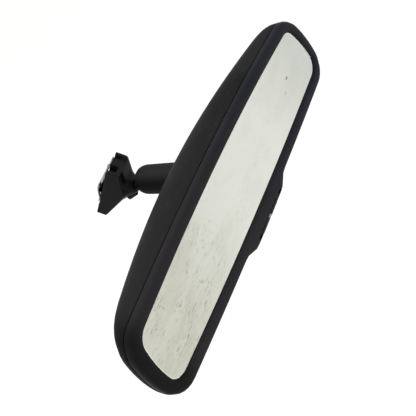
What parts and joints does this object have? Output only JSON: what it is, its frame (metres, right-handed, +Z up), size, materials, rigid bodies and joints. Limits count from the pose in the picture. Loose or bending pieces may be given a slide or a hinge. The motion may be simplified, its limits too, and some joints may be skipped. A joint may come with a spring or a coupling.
{
  "type": "interior rearview mirror",
  "caption": "Auto-dimming car mirror: glass in a bowed case on a double-ball arm, with a windscreen foot, push buttons and a rear wiring socket.",
  "frame": {"origin": "on the foot's windscreen face, in the middle of its bare pad below the spring plate", "axes": "+X along the mirror head, the reflecting glass faces -Y, +Z up as the mirror hangs in the car"},
  "size_m": [0.268, 0.128, 0.0736],
  "materials": {
    "case_plastic": "moulded black ABS, fine satin texture",
    "bezel_plastic": "moulded black ABS, smooth satin",
    "mirror_glass": "silvered electrochromic glass, lightly scratched",
    "clear_glass": "clear float glass",
    "foam": "black foam tape",
    "inner_plastic": "glass-filled nylon, black",
    "circuit_board": "green solder mask",
    "component": "black moulded epoxy",
    "button_rubber": "soft black",
    "lens": "clear polycarbonate",
    "zinc_steel": "zinc plated",
    "stainless": "bright spring steel",
    "arm_paint": "satin black powder coat",
    "foot_black": "black coated zinc die casting",
    "ball_steel": "burnished steel",
    "nylon": "natural nylon",
    "contact": "tinned brass"
  },
  "bodies": {
    "foot": {"mount_foot": "foot_black", "foot_ball_stud": "ball_steel", "spring_plate": "stainless", "plate_rivet_1": "zinc_steel", "plate_rivet_2": "zinc_steel", "lock_screw": "zinc_steel"},
    "foot_liner": {"foot_ball_liner": "nylon"},
    "foot_cup": {"foot_ball_cup": "inner_plastic"},
    "arm": {"arm_tube": "arm_paint", "pressure_spring": "zinc_steel", "foot_spring_seat": "zinc_steel", "head_spring_seat": "zinc_steel"},
    "head_cup": {"head_ball_cup": "inner_plastic"},
    "head_liner": {"head_ball_liner": "nylon"},
    "head": {"rear_housing": "case_plastic", "front_bezel": "bezel_plastic", "front_glass": "mirror_glass", "rear_glass": "clear_glass", "foam_pad": "foam", "carrier_plate": "inner_plastic", "circuit_board": "circuit_board", "board_screw_1": "zinc_steel", "board_screw_2": "zinc_steel", "control_chip": "component", "smoothing_capacitor": "zinc_steel", "glare_sensor": "lens", "ambient_sensor": "component", "ambient_window": "lens", "wiring_socket": "inner_plastic", "socket_pin_1": "contact", "socket_pin_2": "contact", "socket_pin_3": "contact", "socket_pin_4": "contact", "switch_left": "component", "switch_right": "component", "indicator_lens": "lens", "indicator_lamp": "lens", "switch_board": "circuit_board", "head_ball_stud": "ball_steel", "stud_screw_1": "zinc_steel", "stud_screw_2": "zinc_steel", "stud_screw_3": "zinc_steel", "stud_screw_4": "zinc_steel", "case_screw_1": "zinc_steel", "case_screw_2": "zinc_steel", "case_screw_3": "zinc_steel", "case_screw_4": "zinc_steel"},
    "left_button": {"button_left": "button_rubber"},
    "right_button": {"button_right": "button_rubber"}
  },
  "joints": [
    {"name": "foot_yaw", "type": "hinge", "parent": "foot", "child": "foot_liner", "pos_m": [0.01548, -0.0402, -0.00227], "axis": [0, 0, 1], "range_deg": [-8, 30]},
    {"name": "foot_pitch", "type": "hinge", "parent": "foot_liner", "child": "foot_cup", "pos_m": [0.01548, -0.0402, -0.00227], "axis": [1, 0, 0], "range_deg": [-12, 12]},
    {"name": "foot_roll", "type": "hinge", "parent": "foot_cup", "child": "arm", "pos_m": [0.01548, -0.0402, -0.00227], "axis": [0, 1, 0], "range_deg": [-30, 30]},
    {"name": "head_roll", "type": "hinge", "parent": "arm", "child": "head_cup", "pos_m": [0.01548, -0.0832, -0.00227], "axis": [0, 1, 0], "range_deg": [-20, 20]},
    {"name": "head_pitch", "type": "hinge", "parent": "head_cup", "child": "head_liner", "pos_m": [0.01548, -0.0832, -0.00227], "axis": [1, 0, 0], "range_deg": [-15, 15]},
    {"name": "head_yaw", "type": "hinge", "parent": "head_liner", "child": "head", "pos_m": [0.01548, -0.0832, -0.00227], "axis": [0, 0, 1], "range_deg": [-15, 15]},
    {"name": "left_button_press", "type": "slide", "parent": "head", "child": "left_button", "axis": [0, 0, 1], "range_m": [0, 0.0006], "stiffness_N_per_m": 500, "springref_m": -0.0006},
    {"name": "right_button_press", "type": "slide", "parent": "head", "child": "right_button", "axis": [0, 0, 1], "range_m": [0, 0.0006], "stiffness_N_per_m": 500, "springref_m": -0.0006}
  ]
}
